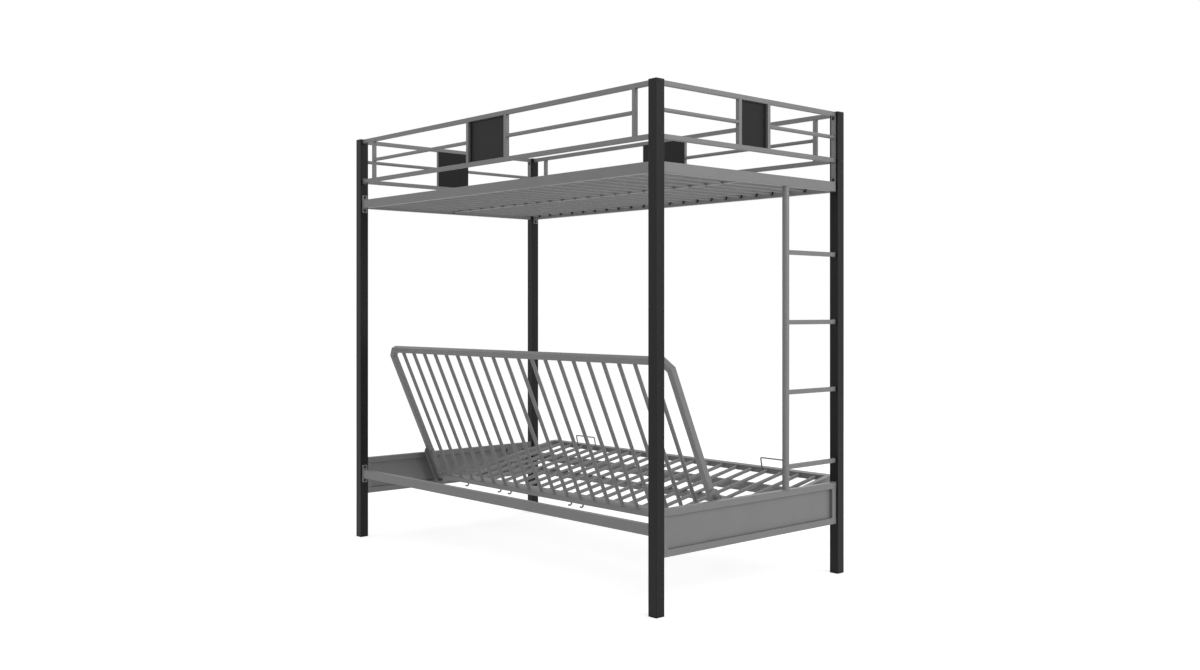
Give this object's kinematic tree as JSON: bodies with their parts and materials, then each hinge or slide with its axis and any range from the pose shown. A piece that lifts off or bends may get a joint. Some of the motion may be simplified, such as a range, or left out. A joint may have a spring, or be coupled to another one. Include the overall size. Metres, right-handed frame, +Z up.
{
  "type": "sofa to bunk bed",
  "caption": "Metal bunk bed with four square posts, a guarded slatted upper bunk, a ladder, and a lower sofa whose backrest and seat fold down together into a flat bed.",
  "frame": {"origin": "on the floor, under the middle of the object's outline with the sofa upright", "axes": "+X along the bed to the end without the ladder, +Y to the back of the sofa, +Z up; the sofa faces -Y"},
  "size_m": [1.989, 1.1182, 1.84],
  "materials": {
    "charcoal_steel": "satin charcoal powder coat",
    "silver_steel": "satin silver grey powder coat",
    "black_plastic": "fine matt moulding",
    "dark_zinc_steel": "dark zinc plate"
  },
  "bodies": {
    "frame": {"post_back_left": "charcoal_steel", "post_back_right": "charcoal_steel", "post_front_left": "charcoal_steel", "post_front_right": "charcoal_steel", "post_caps": "black_plastic", "post_feet": "black_plastic", "guard_rails_back": "silver_steel", "guard_uprights_back": "silver_steel", "guard_rods_back": "silver_steel", "guard_panel_back": "charcoal_steel", "guard_rails_front": "silver_steel", "guard_uprights_front": "silver_steel", "guard_rods_front": "silver_steel", "guard_panel_front": "charcoal_steel", "guard_rails_left": "silver_steel", "guard_uprights_left": "silver_steel", "guard_rods_left": "silver_steel", "guard_panel_left": "charcoal_steel", "guard_rails_right": "silver_steel", "guard_uprights_right": "silver_steel", "guard_rods_right": "silver_steel", "guard_panel_right": "charcoal_steel", "deck_side_rail_back": "silver_steel", "low_rail_back": "silver_steel", "deck_side_rail_front": "silver_steel", "low_rail_front": "silver_steel", "deck_end_rail_left": "silver_steel", "end_panel_rails_left": "silver_steel", "end_panel_sheet_left": "silver_steel", "guide_plate_left": "silver_steel", "deck_end_rail_right": "silver_steel", "end_panel_rails_right": "silver_steel", "end_panel_sheet_right": "silver_steel", "guide_plate_right": "silver_steel", "end_panel_stiles": "silver_steel", "deck_slats": "silver_steel", "deck_slat_sockets": "black_plastic", "deck_strap": "silver_steel", "ladder_upright": "silver_steel", "ladder_rungs": "silver_steel", "frame_bolts": "dark_zinc_steel", "pivot_bosses": "silver_steel", "pivot_bolts": "dark_zinc_steel"},
    "backrest": {"backrest_rails": "silver_steel", "backrest_side_tubes": "silver_steel", "backrest_rods": "silver_steel", "hinge_plate_left": "silver_steel", "hinge_plate_right": "silver_steel", "hinge_plate_bolts": "dark_zinc_steel", "crease_pins": "dark_zinc_steel"},
    "seat": {"seat_rails": "silver_steel", "seat_side_tubes": "silver_steel", "seat_rods": "silver_steel", "seat_support_bar": "silver_steel", "seat_arm_left": "silver_steel", "seat_arm_right": "silver_steel", "guide_pins": "dark_zinc_steel", "mattress_stops": "silver_steel", "tie_hooks": "silver_steel"}
  },
  "joints": [
    {"name": "backrest_fold", "type": "hinge", "parent": "frame", "child": "backrest", "pos_m": [0, 0.18909, 0.3515], "axis": [-1, 0, 0], "range_deg": [0, 66]},
    {"name": "seat_fold", "type": "hinge", "parent": "backrest", "child": "seat", "pos_m": [0, 0.135, 0.23], "axis": [1, 0, 0], "range_deg": [0, 77]}
  ],
  "couplings": [
    {"joint": "seat_fold", "follows": "backrest_fold", "ratio": 1.1667}
  ]
}
